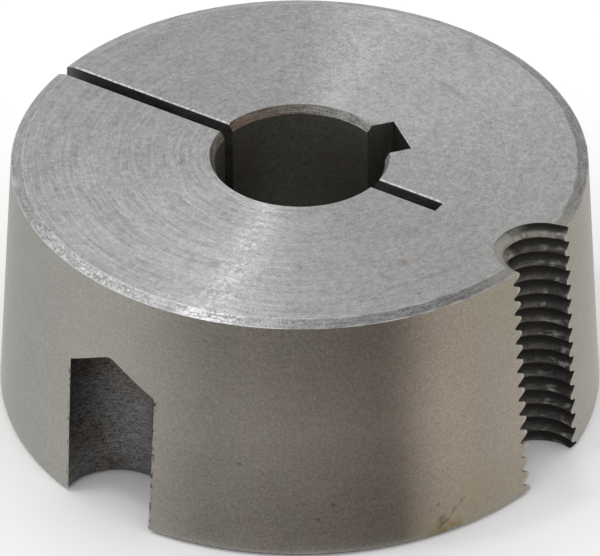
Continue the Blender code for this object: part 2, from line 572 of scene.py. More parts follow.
# Octaves of a random grain, from soft to rough
SOFT = 1.0
PLAIN = 2.0
ROUGH = 3.0


def on_taper(degrees, height):
    """A place on the taper, from its direction round the axis and its height in millimetres."""
    angle = math.radians(degrees)
    radius = LARGE_END_RADIUS - height * MM * math.tan(TAPER_PER_SIDE)
    return (radius * math.cos(angle), radius * math.sin(angle), height * MM)


def on_end(x, y):
    """A place on the small end, in millimetres."""
    return (x * MM, y * MM, LENGTH)


def hole_axis(angle):
    """Where a screw hole's axis crosses the large end."""
    return (HOLE_CIRCLE_RADIUS * math.cos(angle), HOLE_CIRCLE_RADIUS * math.sin(angle))


def scaled(colour, share):
    """A colour made darker or lighter."""
    return tuple(part * share for part in colour)


class Finish:
    """A bare steel surface being finished: its shader, and where its marks lie on the bushing."""

    def __init__(self, name, anisotropic=0.0, metallic=1.0):
        self.material = new_material(name)
        self.tree = self.material.node_tree
        self.shader = self.tree.nodes["Principled BSDF"]
        self.shader.inputs["Metallic"].default_value = metallic
        if anisotropic:
            tangent = add(self.tree, "ShaderNodeTangent", direction_type="RADIAL", axis="Z")
            self.shader.inputs["Anisotropic"].default_value = anisotropic
            self.shader.inputs["Anisotropic Rotation"].default_value = ACROSS_THE_MARKS
            feed(self.tree, self.shader.inputs["Tangent"], tangent.outputs[0])
        self.place = add(self.tree, "ShaderNodeTexCoord").outputs["Object"]
        parts = add(self.tree, "ShaderNodeSeparateXYZ", {"Vector": self.place})
        self.x, self.y, self.z = (Number(self.tree, parts.outputs[axis]) for axis in "XYZ")
        self.radius = (self.x * self.x + self.y * self.y).maths("SQRT")
        self.east = self.x / self.radius
        self.north = self.y / self.radius

    def noise(self, at, size, detail=PLAIN):
        """Random tones about zero, whose blobs have that size."""
        node = add(
            self.tree, "ShaderNodeTexNoise", {"Vector": at, "Scale": 1.0 / size, "Detail": detail}
        )
        return Number(self.tree, node.outputs["Fac"]) - HALFWAY

    def grain(self, size, detail=PLAIN):
        """Blobs as long as they are wide."""
        return self.noise(self.place, size, detail)

    def rings(self, pitch, breaks, detail=PLAIN):
        """Marks round the axis on a flat end, with about so many breaks in a turn."""
        at = vector(self.tree, self.radius / pitch, self.east * breaks, self.north * breaks)
        return self.noise(at, 1.0, detail)

    def hoops(self, pitch, breaks, detail=PLAIN):
        """Marks round the axis on an upright wall, with about so many breaks in a turn."""
        at = vector(self.tree, self.z / pitch, self.east * breaks, self.north * breaks)
        return self.noise(at, 1.0, detail)

    def lines(self, pitch, run, detail=PLAIN):
        """Level marks on an upright wall that faces any way, each of about that run."""
        at = vector(self.tree, self.z / pitch, self.x / run, self.y / run)
        return self.noise(at, 1.0, detail)

    def strokes(self, pitch, run):
        """Upright marks, each of about that run."""
        at = vector(self.tree, self.x / pitch, self.y / pitch, self.z / run)
        return self.noise(at, 1.0)

    def toward(self, degrees):
        """1 on the side of the bushing that lies in a direction, -1 on the side away from it."""
        angle = math.radians(degrees)
        return self.east * math.cos(angle) + self.north * math.sin(angle)

    def side(self, degrees, start):
        """1 straight in a direction, falling to 0 where `toward` is down to a start."""
        return ((self.toward(degrees) - start) / (1.0 - start)).floored()

    def above(self, height, over):
        """0 up to a height, and rising to 1 over a distance above it."""
        return ((self.z - height) / over).held()

    def from_hole(self, angle):
        """Distance from the axis of the screw hole at an angle."""
        x, y = hole_axis(angle)
        return ((self.x - x) * (self.x - x) + (self.y - y) * (self.y - y)).maths("SQRT")

    def round_hole(self, hole, degrees):
        """1 on the side of a screw hole that lies in a direction, -1 on the side away from it."""
        x, y = hole_axis(hole)
        angle = math.radians(degrees)
        reach = (self.x - x) * math.cos(angle) + (self.y - y) * math.sin(angle)
        return reach / self.from_hole(hole)

    def inside_taper(self):
        """How deep a place lies inside the taper's surface."""
        return LARGE_END_RADIUS - self.z * math.tan(TAPER_PER_SIDE) - self.radius

    def from_point(self, point):
        """Distance from a point."""
        gap = vector_maths(self.tree, "DISTANCE", self.place, point)
        return Number(self.tree, gap.outputs["Value"])

    def from_line(self, start, end):
        """Distance from the line between two points."""
        along = Vector(end) - Vector(start)
        unit = along / along.length_squared
        reach = vector_maths(self.tree, "SUBTRACT", self.place, start).outputs[0]
        share = vector_maths(self.tree, "DOT_PRODUCT", reach, unit)
        held = Number(self.tree, share.outputs["Value"]).held()
        foot = vector_maths(self.tree, "SCALE", along, held).outputs[0]
        gap = vector_maths(self.tree, "DISTANCE", reach, foot)
        return Number(self.tree, gap.outputs["Value"])

    def fading(self, distance, size):
        """1 at no distance, falling to 0 at a size."""
        return (1.0 - distance / size).held()

    def tones(self, dark, light, tone):
        """A colour between two, from a number about zero."""
        return self.over(dark, light, tone + HALFWAY)

    def steel(self, colour, contrast, tone):
        """The steel's own colour, darker and lighter by up to a share of itself."""
        return self.tones(scaled(colour, 1.0 - contrast), scaled(colour, 1.0 + contrast), tone)

    def over(self, under, colour, cover):
        """A colour, or one that varies, laid over another as far as a cover from 0 to 1."""
        node = add(self.tree, "ShaderNodeMix", data_type="RGBA", clamp_factor=True)
        feed(self.tree, node.inputs["Factor"], cover)
        sockets = [socket for socket in node.inputs if socket.type == "RGBA"]
        for socket, value in zip(sockets, (under, colour)):
            feed(self.tree, socket, (*value, 1.0) if isinstance(value, tuple) else value)
        return node.outputs[2]

    def marked(self, under, marks, tint, cover):
        """Marks of a tint: each a start, an end and a width, or a middle and a size."""
        for *points, size in marks:
            gap = self.from_line(*points) if len(points) == 2 else self.from_point(*points)
            under = self.over(under, tint, self.fading(gap, size) * cover)
        return under

    def specks(self, spacing, size, share):
        """Small round spots in some cells of a grid with that spacing: 1 on a spot and 0 off it."""
        cells = add(
            self.tree, "ShaderNodeTexVoronoi", {"Vector": self.place, "Scale": 1.0 / spacing}
        )
        colour = add(self.tree, "ShaderNodeSeparateColor", {"Color": cells.outputs["Color"]})
        chosen = Number(self.tree, colour.outputs[0]) < share
        near = Number(self.tree, cells.outputs["Distance"]) < size / spacing
        return chosen * near

    def finish(self, colour, roughness, height, depth):
        """Feed the shader, with the marks of a height standing that far proud."""
        feed(self.tree, self.shader.inputs["Base Color"], colour)
        feed(self.tree, self.shader.inputs["Roughness"], roughness)
        bump = add(self.tree, "ShaderNodeBump", {"Distance": depth, "Height": height})
        feed(self.tree, self.shader.inputs["Normal"], bump.outputs[0])
        return self.material


# Sides of the bushing painted lighter or darker, as painted highlights and painted shade, each a
# direction round the axis in degrees, and how nearly that way a place lies where the change begins
PAINTED_FAN = (-127.3, 0.9955)
FAN_HIGHLIGHT_EDGE = (-112.0, 0.9)
SHADED_BACK_SIDE = (52.7, 0.9)
LIT_SIDE = (-148.0, 0.85)
SHADED_SIDES_ACROSS = ((-17.0, 0.88), (163.0, 0.88))
RIM_HIGHLIGHT_SIDE = (-127.3, 0.86)
PAINTED_SPARK_RIM = (-127.3, 0.99)
LIT_RIM_SIDE = (-157.0, 0.93)
SHADED_RIM = (-86.0, 0.9)
PAINTED_REFLECTION_SIDE = (-107.0, 0.83)

# Other directions round the axis, in degrees
# The side where the rings on the ends are painted clearest, as painted light
LIT_RINGS_SIDE = -170.0
# The side of the rim painted darker, as painted shade
DARKER_RIM = -45.0
# The side of the bore's chamfer painted lighter, as painted light
LIT_BORE_CHAMFER_SIDE = 40.0
STAINED_BORE_CHAMFER = 128.0
# The side of the plain half holes painted lighter, as painted light
LIT_DRILLED_WALL_SIDE = -128.0

# Marks of use on the small end: each bright scratch, each dull rub and each spot
END_SCRATCHES = (
    (on_end(10.46, -10.56), on_end(16.63, -16.27), 0.10 * MM),
    (on_end(11.75, -16.23), on_end(12.67, -16.89), 0.10 * MM),
    (on_end(1.60, 11.92), on_end(2.16, 10.65), 0.12 * MM),
    (on_end(10.2, -2.3), on_end(10.2, 0.5), 0.12 * MM),
)
END_RUBS = (
    (on_end(16.6, 7.0), on_end(17.9, 3.4), 0.45 * MM),
    (on_end(21.0, 10.4), on_end(21.8, 12.8), 0.5 * MM),
    (on_end(14.0, 4.5), on_end(12.9, 3.5), 0.2 * MM),
    (on_end(6.9, 20.5), on_end(7.8, 20.0), 0.4 * MM),
)
END_SPOTS = (
    (on_end(-14.77, 15.69), 0.35 * MM),
    (on_end(-10.78, -23.05), 0.3 * MM),
    (on_end(-5.83, -17.02), 0.35 * MM),
    (on_end(-12.92, -13.72), 0.75 * MM),
    (on_end(3.27, -19.22), 0.7 * MM),
)
# The near-white of the painted fan highlight; after it, the marks' own colours
PAINTED_SPARK = (0.98, 0.98, 0.98)
SCRATCH = (0.80, 0.80, 0.80)
RUB = (0.39, 0.375, 0.355)
SPOT = (0.35, 0.32, 0.28)
FAINTEST_RINGS = 0.28


def turned_face():
    """The ends: faced on a lathe, with rings that come and go, darker spots and a few scratches,
    and a painted fan highlight with painted shade beside it.
    """
    steel = (0.555, 0.555, 0.558)
    make = Finish("turned_face", anisotropic=0.97)
    # The rings and their bumps grow stronger towards one side: partly painted light, as their tone
    # stands in for the light that shows them there
    show = (make.toward(LIT_RINGS_SIDE) * 0.6 + 0.4).maths("MAXIMUM", FAINTEST_RINGS)
    rings = make.rings(0.42 * MM, 2.0) * show
    fine_rings = make.rings(0.13 * MM, 7.0, SOFT) * show
    dashes = make.rings(0.14 * MM, 36.0, SOFT) * (1.3 - show)
    grain = make.grain(0.13 * MM, SOFT)
    coarse_grain = make.grain(0.26 * MM)
    mottle = make.grain(0.55 * MM, SOFT)
    patches = make.grain(4.0 * MM)
    # A painted highlight beside the fan and painted light on one side raise the tone; painted shade
    # lowers it on the back and on the sides across the fan
    painted_highlight = make.side(*FAN_HIGHLIGHT_EDGE)
    lit = make.side(*LIT_SIDE)
    painted_back_shade = make.side(*SHADED_BACK_SIDE)
    tone = rings * 1.3 + fine_rings * 0.9 + dashes * 0.7 + grain * 0.8 + coarse_grain * 0.9
    tone = tone + mottle * 0.9 + patches * 0.4 + painted_highlight * 0.10 + lit * 0.05 - painted_back_shade * 0.14
    for across in SHADED_SIDES_ACROSS:
        tone = tone - make.side(*across) * 0.10
    colour = make.steel(steel, 0.49, tone * 0.58)
    colour = make.over(colour, scaled(steel, 0.55), make.specks(2.6 * MM, 0.15 * MM, 0.35) * 0.7)
    # Near-white sparkle painted over the fan: a painted highlight
    painted_sparks = dashes * 1.2 + coarse_grain * 1.2 + mottle * 1.8 + patches * 0.8 + 0.06
    colour = make.over(colour, PAINTED_SPARK, make.side(*PAINTED_FAN) * painted_sparks)
    colour = make.marked(colour, END_SCRATCHES, SCRATCH, grain * 2.0 + 0.55)
    colour = make.marked(colour, END_RUBS, RUB, mottle * 3.0 + 0.6)
    colour = make.marked(colour, END_SPOTS, SPOT, coarse_grain * 3.0 + 0.7)
    roughness = patches * 0.08 + rings * 0.10 + grain * 0.10 + 0.41
    height = rings + fine_rings * 0.6 + dashes * 0.6 + grain * 0.8
    return make.finish(colour, roughness, height, depth=0.03 * MM)


# Near-white colours of the rim's painted highlight and painted light
PAINTED_RIM_SPARK = (1.0, 1.0, 1.0)
PAINTED_RIM_LIGHT = (0.95, 0.95, 0.93)
OILED_RIM = (0.50, 0.50, 0.445)
LARGE_END_RIM = (0.15, 0.14, 0.125)
LARGE_END_BELOW = 1.0 * MM
OIL_SPREAD = 10.0 * MM
# The width of the painted highlights along the chamfer's two edges
RIM_HIGHLIGHT_WIDTH = 0.16 * MM


def rim_chamfer():
    """The small end's chamfer: a coarse cut, with painted highlights on its fan side and along its
    edges, painted light on its lit side and painted shade on its shaded side.
    """
    steel = (0.405, 0.407, 0.409)
    make = Finish("rim_chamfer", anisotropic=0.5)
    rings = make.rings(0.20 * MM, 14.0)
    grain = make.grain(0.15 * MM, SOFT)
    coarse_grain = make.grain(0.36 * MM)
    patches = make.grain(1.6 * MM)
    # A painted highlight on the fan's side, painted light on the lit side, and painted shade on the
    # shaded and darker sides
    painted_highlight = make.side(*RIM_HIGHLIGHT_SIDE)
    lit_rim_side = make.side(*LIT_RIM_SIDE)
    shade = make.side(*SHADED_RIM)
    darker = make.toward(DARKER_RIM).floored()
    tone = rings * 1.5 + grain * 1.4 + coarse_grain * 1.2 + patches * 0.6
    tone = tone * (painted_highlight * 0.3 + 0.8) + painted_highlight * 0.2 + lit_rim_side * 0.25
    tone = tone - shade * 0.16 - darker * 0.22
    colour = make.steel(steel, 0.7, tone * 0.56)
    # Near-white sparkle painted on the fan's side: a painted highlight
    painted_sparks = rings * 3.0 + grain * 2.5 + coarse_grain * 1.5 + 0.55
    colour = make.over(colour, PAINTED_RIM_SPARK, make.side(*PAINTED_SPARK_RIM) * painted_sparks)
    # Near-white patches painted on the lit side: painted light
    painted_rim_light = lit_rim_side * (coarse_grain * 3.0 + grain * 2.0 + 0.1)
    colour = make.over(colour, PAINTED_RIM_LIGHT, painted_rim_light)
    oiled = make.fading(make.from_hole(TAPPED_HOLE_ANGLE), OIL_SPREAD)
    colour = make.over(colour, OILED_RIM, oiled)
    colour = make.over(colour, LARGE_END_RIM, make.z < LARGE_END_BELOW)
    # Light lines painted along the chamfer's two edges: painted highlights
    for edge in (SMALL_END_RADIUS - SMALL_END_CHAMFER_WIDTH, SMALL_END_RADIUS):
        line = make.fading(abs(make.radius - edge), RIM_HIGHLIGHT_WIDTH)
        colour = make.over(colour, scaled(steel, 1.7), line * (patches * 4.0 + 0.8))
    height = rings + grain + coarse_grain * 0.5
    return make.finish(colour, grain * 0.3 + 0.42, height, depth=0.03 * MM)


# The taper's specks; its oil stains, each with its tint and how far it covers the steel; and
# the dried streak through them
TAPER_SPECKS = (
    (on_taper(-103.1, 5.67), 0.28 * MM),
    (on_taper(-105.9, 4.11), 0.28 * MM),
    (on_taper(-120.5, 9.87), 0.28 * MM),
    (on_taper(-82.7, 3.61), 0.28 * MM),
)
TAPER_STAINS = (
    ((on_taper(-84.0, 0.5), on_taper(-62.0, 3.0), 5.0 * MM), (0.36, 0.345, 0.26), 0.35),
    ((on_taper(-83.6, 0.5), on_taper(-79.0, 0.9), 0.9 * MM), (0.30, 0.265, 0.15), 0.75),
    ((on_taper(-82.4, 1.2), on_taper(-82.0, 2.3), 0.7 * MM), (0.27, 0.245, 0.17), 0.6),
    ((on_taper(-76.4, 3.4), on_taper(-74.0, 4.7), 1.3 * MM), (0.43, 0.42, 0.31), 0.5),
)
TAPER_STREAK = (
    (on_taper(-83.0, 0.7), on_taper(-81.7, 1.35), 0.24 * MM),
    (on_taper(-81.7, 1.35), on_taper(-80.6, 1.75), 0.24 * MM),
    (on_taper(-80.6, 1.75), on_taper(-79.5, 2.5), 0.24 * MM),
    (on_taper(-79.5, 2.5), on_taper(-77.2, 3.4), 0.24 * MM),
)
MAUVE = ((0.260, 0.237, 0.232), (0.665, 0.606, 0.595))
OLIVE = ((0.232, 0.238, 0.202), (0.60, 0.615, 0.52))
STREAK = (0.16, 0.14, 0.11)
CHIP = (0.085, 0.080, 0.072)
# The light colour of the painted highlight round the tapped hole's lip
LIP_HIGHLIGHT = (0.56, 0.56, 0.52)

# Where a lighter band is painted across the side that faces the camera, as painted reflection, and
# where the thread's oil has crept over the taper
PAINTED_BAND_HEIGHT = 13.5 * MM
PAINTED_BAND_REACH = 9.5 * MM
OLIVE_ABOVE = (14.0 * MM, 8.0 * MM)

# The light lines along the screw holes' edges, painted highlights, with dark chips among them, and
# the tapped hole's light lip, a painted highlight too
HOLE_HIGHLIGHT_WIDTH = 0.14 * MM
CHIPS_WIDTH = 0.32 * MM
LIP_RADIUS = 4.05 * MM
LIP_WIDTH = 0.35 * MM


def ground_taper():
    """The taper: ground fine and even, with a faint grain, a few specks and an oil stain, painted
    reflection on the side that faces the camera, and painted highlights along the holes' edges.
    """
    steel = (0.445, 0.437, 0.402)
    make = Finish("ground_taper", anisotropic=0.93)
    hoops = make.hoops(0.12 * MM, 6.0, SOFT)
    grain = make.grain(0.11 * MM, SOFT)
    coarse_grain = make.grain(0.26 * MM)
    mottle = make.grain(0.7 * MM)
    tints = make.grain(2.2 * MM)
    patches = make.grain(4.0 * MM)
    burr = make.grain(0.5 * MM)
    # The side that faces the camera is painted as a reflection: darker, with more contrast, a
    # lighter band across it and mauve tints over it
    painted_front_reflection = make.side(*PAINTED_REFLECTION_SIDE)
    painted_front_band = make.fading(abs(make.z - PAINTED_BAND_HEIGHT), PAINTED_BAND_REACH) * painted_front_reflection
    tone = hoops * 0.3 + grain * 1.2 + coarse_grain * 1.0
    tone = tone * (painted_front_reflection * 0.6 + 1.1) + patches * 0.35 + painted_front_band * 0.7 - painted_front_reflection * 0.10
    colour = make.steel(steel, 0.44, tone * 0.5)
    mauve = make.tones(*MAUVE, tone * 0.5)
    colour = make.over(colour, mauve, painted_front_reflection * (tints * 3.0 + 0.35))
    oiled = make.fading(make.from_hole(TAPPED_HOLE_ANGLE), OIL_SPREAD) * make.above(*OLIVE_ABOVE)
    olive = make.tones(*OLIVE, tone * 0.5)
    colour = make.over(colour, olive, oiled * 1.5)
    colour = make.over(colour, scaled(steel, 0.5), make.specks(2.8 * MM, 0.12 * MM, 0.25) * 0.6)
    colour = make.marked(colour, TAPER_SPECKS, scaled(steel, 0.35), grain * 2.0 + 0.8)
    for stain, tint, cover in TAPER_STAINS:
        cover = (mottle * 4.0 + coarse_grain * 2.0 + 1.2) * cover
        colour = make.marked(colour, [stain], tint, cover)
    colour = make.marked(colour, TAPER_STREAK, STREAK, grain * 4.0 + mottle * 3.0 + 0.35)
    beside_hole = make.z < PLAIN_HOLE_DEPTH
    for spread in (-PLAIN_HOLE_SPREAD, PLAIN_HOLE_SPREAD):
        gap = make.from_hole(TAPPED_HOLE_ANGLE + spread) - PLAIN_HOLE_RADIUS
        # A light line painted along each hole's edge: a painted highlight; the dark chips beside it
        # are the edge's own
        line = make.fading(gap, HOLE_HIGHLIGHT_WIDTH) * beside_hole * (burr * 4.0 + 0.6)
        colour = make.over(colour, scaled(steel, 1.45), line)
        chips = make.fading(gap, CHIPS_WIDTH) * beside_hole * (burr * 7.0 + 0.25)
        colour = make.over(colour, CHIP, chips)
    # A light lip painted round the tapped hole: a painted highlight
    lip = make.fading(make.from_hole(TAPPED_HOLE_ANGLE) - LIP_RADIUS, LIP_WIDTH)
    colour = make.over(colour, LIP_HIGHLIGHT, lip * (burr * 3.0 + 0.7))
    return make.finish(colour, patches * 0.06 + 0.38, hoops * 0.5 + grain, depth=0.010 * MM)


BORE_BROWN = ((0.24, 0.19, 0.155), (0.42, 0.33, 0.27))


def bored_wall():
    """The bore: a dark reamed wall with brown tints."""
    steel = (0.30, 0.302, 0.272)
    make = Finish("bored_wall", anisotropic=0.5)
    hoops = make.hoops(0.22 * MM, 4.0)
    grain = make.grain(0.20 * MM)
    tints = make.grain(6.0 * MM)
    tone = hoops * 0.7 + grain * 2.0
    colour = make.steel(steel, 0.3, tone)
    brown = make.tones(*BORE_BROWN, tone)
    colour = make.over(colour, brown, (tints - 0.04) * 3.0)
    return make.finish(colour, tints * 0.1 + 0.5, hoops + grain, depth=0.012 * MM)


BORE_CHAMFER_BROWN = ((0.15, 0.12, 0.10), (0.43, 0.37, 0.31))


def bore_chamfer():
    """The bore's chamfer: a chattered cut with streaks round it, painted lighter on one side as
    painted light.
    """
    steel = (0.38, 0.378, 0.362)
    make = Finish("bore_chamfer", anisotropic=0.5)
    hoops = make.hoops(0.16 * MM, 5.0)
    grain = make.grain(0.18 * MM)
    tints = make.grain(5.0 * MM)
    # One side painted lighter: painted light
    tone = hoops * 2.2 + grain * 1.8 + make.toward(LIT_BORE_CHAMFER_SIDE) * 0.15
    colour = make.tones(scaled(steel, 0.5), scaled(steel, 1.6), tone)
    brown = make.tones(*BORE_CHAMFER_BROWN, tone)
    stained = (make.toward(STAINED_BORE_CHAMFER) - 0.5) * 1.6
    colour = make.over(colour, brown, tints * 2.0 + stained)
    return make.finish(colour, hoops * 0.2 + 0.45, hoops + grain, depth=0.02 * MM)


# The saw cuts are clean up to this radius, and black with oil this much further out
CLEAN_SAWN_RADIUS = 12.0 * MM
SAWN_OIL_REACH = 16.0 * MM


def sawn_wall():
    """The split and the relief: walls as the saw left them, dark with cutting oil."""
    steel = (0.34, 0.335, 0.325)
    make = Finish("sawn_wall")
    marks = make.lines(0.35 * MM, 3.0 * MM)
    grain = make.grain(0.25 * MM)
    colour = make.steel(steel, 0.4, marks * 1.2 + grain * 1.6)
    oil = ((make.radius - CLEAN_SAWN_RADIUS) / SAWN_OIL_REACH).held()
    colour = make.over(colour, scaled(steel, 0.45), oil)
    return make.finish(colour, marks * 0.3 + 0.5, marks + grain * 0.5, depth=0.04 * MM)


KEYWAY_FLOOR_SKIN = 0.01 * MM


def keyway_wall():
    """The keyway: broached along the bore, with its floor painted darker as painted shade."""
    steel = (0.37, 0.367, 0.345)
    make = Finish("keyway_wall")
    strokes = make.strokes(0.12 * MM, 9.0 * MM)
    grain = make.grain(0.3 * MM)
    colour = make.steel(steel, 0.4, strokes * 1.2 + grain * 1.4)
    # The keyway's floor painted darker: painted shade
    floor = make.x > (BORE_RADIUS + KEYWAY_DEPTH - KEYWAY_FLOOR_SKIN)
    colour = make.over(colour, scaled(steel, 0.25), floor * (grain * 0.8 + 0.9))
    return make.finish(colour, grain * 0.2 + 0.55, strokes, depth=0.015 * MM)


# Brown tints in the plain half hole beside the taper's side that faces the camera
DRILLED_TINTS = (
    ((-24.0 * MM, -9.3 * MM, 13.6 * MM), 2.2 * MM),
    ((-22.3 * MM, -9.2 * MM, 13.2 * MM), 2.2 * MM),
    ((-19.4 * MM, -11.2 * MM, 11.0 * MM), 2.4 * MM),
    ((-24.0 * MM, -9.3 * MM, 4.8 * MM), 3.0 * MM),
    ((-22.4 * MM, -9.2 * MM, 1.2 * MM), 2.2 * MM),
)
DRILLED_BROWN = ((0.060, 0.050, 0.043), (0.26, 0.218, 0.190))
# The light colour and width of the painted highlight along the holes' edge
DRILLED_EDGE_HIGHLIGHT = (0.60, 0.60, 0.57)
DRILLED_HIGHLIGHT_WIDTH = 0.15 * MM


def drilled_wall():
    """The plain half holes: torn level marks of the drill, grey with brown tints, painted lighter
    on one side as painted light, and with a painted highlight along their edge.
    """
    steel = (0.195, 0.195, 0.193)
    make = Finish("drilled_wall")
    marks = make.lines(0.17 * MM, 0.9 * MM, ROUGH)
    grain = make.grain(0.22 * MM)
    nicks = make.grain(0.5 * MM)
    tints = make.grain(1.2 * MM)
    # One side painted lighter and the rest darker: painted light and painted shade
    painted_light_side = make.toward(LIT_DRILLED_WALL_SIDE) * 3.0 - 2.76
    tone = marks * 1.6 + grain * 1.6 + painted_light_side
    colour = make.steel(steel, 0.6, tone)
    brown = make.tones(*DRILLED_BROWN, tone)
    colour = make.marked(colour, DRILLED_TINTS, brown, tints * 4.0 + 1.0)
    # A light line painted along the hole's edge: a painted highlight
    edge = make.fading(make.inside_taper(), DRILLED_HIGHLIGHT_WIDTH) * (nicks * 5.0 + 0.55)
    colour = make.over(colour, DRILLED_EDGE_HIGHLIGHT, edge)
    return make.finish(colour, marks * 0.4 + 0.48, marks + grain * 0.8, depth=0.06 * MM)


# Sides of the tapped hole where light, a highlight and glints are painted, in degrees
THREAD_LIT_SIDE = 152.0
THREAD_HIGHLIGHT_SIDE = 128.0
THREAD_GLINT_SIDE = 20.0

# Heights at which the thread's painted light and painted highlights begin, and over how much each
# comes in full
LIT_ABOVE = (21.0 * MM, 0.4 * MM)
HIGHLIGHT_ABOVE = (22.7 * MM, 0.6 * MM)
MOUTH_HIGHLIGHT_ABOVE = (24.2 * MM, 0.3 * MM)

# The oil leaves the crests bare to this depth, and covers the groove this much deeper
BARE_CREST_DEPTH = 0.10 * MM
OIL_DEPTH = 0.30 * MM

THREAD_BROWN = ((0.045, 0.036, 0.030), (0.17, 0.14, 0.12))
THREAD_OIL = (0.062, 0.059, 0.053)
# The colours below stand in for light, except the pits: painted light on the first turns, painted
# highlights, a painted glint and a painted edge highlight
PAINTED_LIT_THREAD = (0.41, 0.406, 0.36)
THREAD_PITS = (0.05, 0.048, 0.042)
PAINTED_THREAD_HIGHLIGHT = (0.36, 0.35, 0.305)
PAINTED_MOUTH_HIGHLIGHT = (0.37, 0.37, 0.325)
THREAD_GLINT = (0.55, 0.55, 0.52)
THREAD_EDGE_HIGHLIGHT = (0.42, 0.42, 0.39)
THREAD_HIGHLIGHT_WIDTH = 0.22 * MM


def tapped_thread():
    """The tapped half hole: darkened with oil, its crests torn, and its first turns painted lighter
    on one side as painted light, with painted highlights and painted glints.
    """
    steel = (0.088, 0.087, 0.082)
    make = Finish("tapped_thread", metallic=0.5)
    marks = make.lines(0.16 * MM, 1.2 * MM)
    grain = make.grain(0.22 * MM, ROUGH)
    blots = make.grain(0.9 * MM)
    tints = make.grain(2.5 * MM)
    tone = marks * 1.2 + grain * 1.8 + blots * 1.2
    colour = make.steel(steel, 0.6, tone)
    brown = make.tones(*THREAD_BROWN, tone)
    colour = make.over(colour, brown, (tints + 0.02) * 2.0)

    # The first turns painted lighter on one side, with dark pits in them: painted light
    lit_side_of_hole = make.round_hole(TAPPED_HOLE_ANGLE, THREAD_LIT_SIDE)
    painted_lit_turns = ((lit_side_of_hole - 0.80) * 9.0 + blots * 2.0).held() * make.above(*LIT_ABOVE)
    depth = make.from_hole(TAPPED_HOLE_ANGLE) - (THREAD_RADIUS - THREAD_DEPTH)
    oil = ((depth - BARE_CREST_DEPTH) / OIL_DEPTH + grain).held() * (1.0 - painted_lit_turns)
    bare = 1.0 - oil
    colour = make.over(colour, THREAD_OIL, oil * 0.85)
    colour = make.over(colour, PAINTED_LIT_THREAD, painted_lit_turns * (grain * 2.5 + blots * 2.0 + 0.85))
    colour = make.over(colour, THREAD_PITS, painted_lit_turns * (blots * 9.0 + grain * 3.0 - 0.6))

    # A painted highlight on the first turns, on another side of the hole
    highlight_side_of_hole = make.round_hole(TAPPED_HOLE_ANGLE, THREAD_HIGHLIGHT_SIDE)
    painted_highlight = make.above(*HIGHLIGHT_ABOVE) * ((highlight_side_of_hole - 0.1) * 2.5).held() * bare
    colour = make.over(colour, PAINTED_THREAD_HIGHLIGHT, painted_highlight * (grain * 2.5 + blots * 1.5 + 0.75))
    # The mouth painted lighter on the lit side: a painted highlight
    mouth = make.above(*MOUTH_HIGHLIGHT_ABOVE) * ((lit_side_of_hole - 0.45) * 4.0).held()
    colour = make.over(colour, PAINTED_MOUTH_HIGHLIGHT, mouth * (grain * 2.5 + 0.8))

    glint_side = make.round_hole(TAPPED_HOLE_ANGLE, THREAD_GLINT_SIDE)
    glints = (glint_side - 0.5).floored() * (blots * 12.0 + marks * 4.0 - 0.4)
    colour = make.over(colour, THREAD_GLINT, glints.floored() * bare)
    # A light line painted along the hole's edge: a painted highlight
    edge = make.fading(make.inside_taper(), THREAD_HIGHLIGHT_WIDTH) * (tints * 4.0 + 0.5)
    colour = make.over(colour, THREAD_EDGE_HIGHLIGHT, edge * (1.0 - oil * 0.9))
    return make.finish(colour, grain * 0.5 + 0.42, marks + grain, depth=0.03 * MM)


def broken_edge():
    """Edges with their burr knocked off: bright, with small nicks."""
    steel = (0.78, 0.78, 0.78)
    make = Finish("broken_edge")
    nicks = make.grain(0.35 * MM, ROUGH)
    colour = make.tones(scaled(steel, 0.4), scaled(steel, 1.25), nicks * 2.6 + 0.25)
    return make.finish(colour, nicks * 0.4 + 0.38, nicks, depth=0.05 * MM)


FINISHES = (
    turned_face, rim_chamfer, ground_taper, bored_wall, bore_chamfer, sawn_wall, keyway_wall,
    drilled_wall, tapped_thread, broken_edge,
)


# The studio


def studio_point(x, y, z):
    """A place in the studio: X to the right of the camera's view, Y away from it, Z up."""
    turn = CAMERA_AZIMUTH + math.pi / 2.0
    return Vector(
        (x * math.cos(turn) - y * math.sin(turn), x * math.sin(turn) + y * math.cos(turn), z)
    )


def aim(obj, target):
    """Turn a camera or a lamp towards a point."""
    obj.rotation_euler = (target - obj.location).to_track_quat("-Z", "Y").to_euler()


def add_camera():
    """The camera, where it stood for the photograph."""
    data = bpy.data.cameras.new("camera")
    data.lens = CAMERA_LENS
    data.sensor_width = CAMERA_SENSOR
    camera = new_object("camera", data)
    target = studio_point(*CAMERA_TARGET)
    away = CAMERA_DISTANCE * math.cos(CAMERA_ELEVATION)
    up = CAMERA_DISTANCE * math.sin(CAMERA_ELEVATION)
    camera.location = target + studio_point(0.0, -away, up)
    aim(camera, target)
    bpy.context.scene.camera = camera


FLOOR_SIZE = 4.0
FLOOR_COLOUR = (0.97, 0.97, 0.97, 1.0)
FLOOR_ROUGHNESS = 0.9


def stage_mesh(name, corners, faces, material):
    """A plain mesh of the studio's own."""
    mesh = bpy.data.meshes.new(name)
    mesh.from_pydata(corners, [], faces)
    mesh.materials.append(material)
    obj = new_object(name, mesh)
    return obj


def add_floor():
    """A plain pale floor."""
    material = new_material("pale_floor")
    shader = material.node_tree.nodes["Principled BSDF"]
    shader.inputs["Base Color"].default_value = FLOOR_COLOUR
    shader.inputs["Roughness"].default_value = FLOOR_ROUGHNESS
    shader.inputs["Specular IOR Level"].default_value = 0.0
    half = FLOOR_SIZE / 2.0
    corners = [(-half, -half, 0.0), (half, -half, 0.0), (half, half, 0.0), (-half, half, 0.0)]
    stage_mesh("floor", corners, [(0, 1, 2, 3)], material)


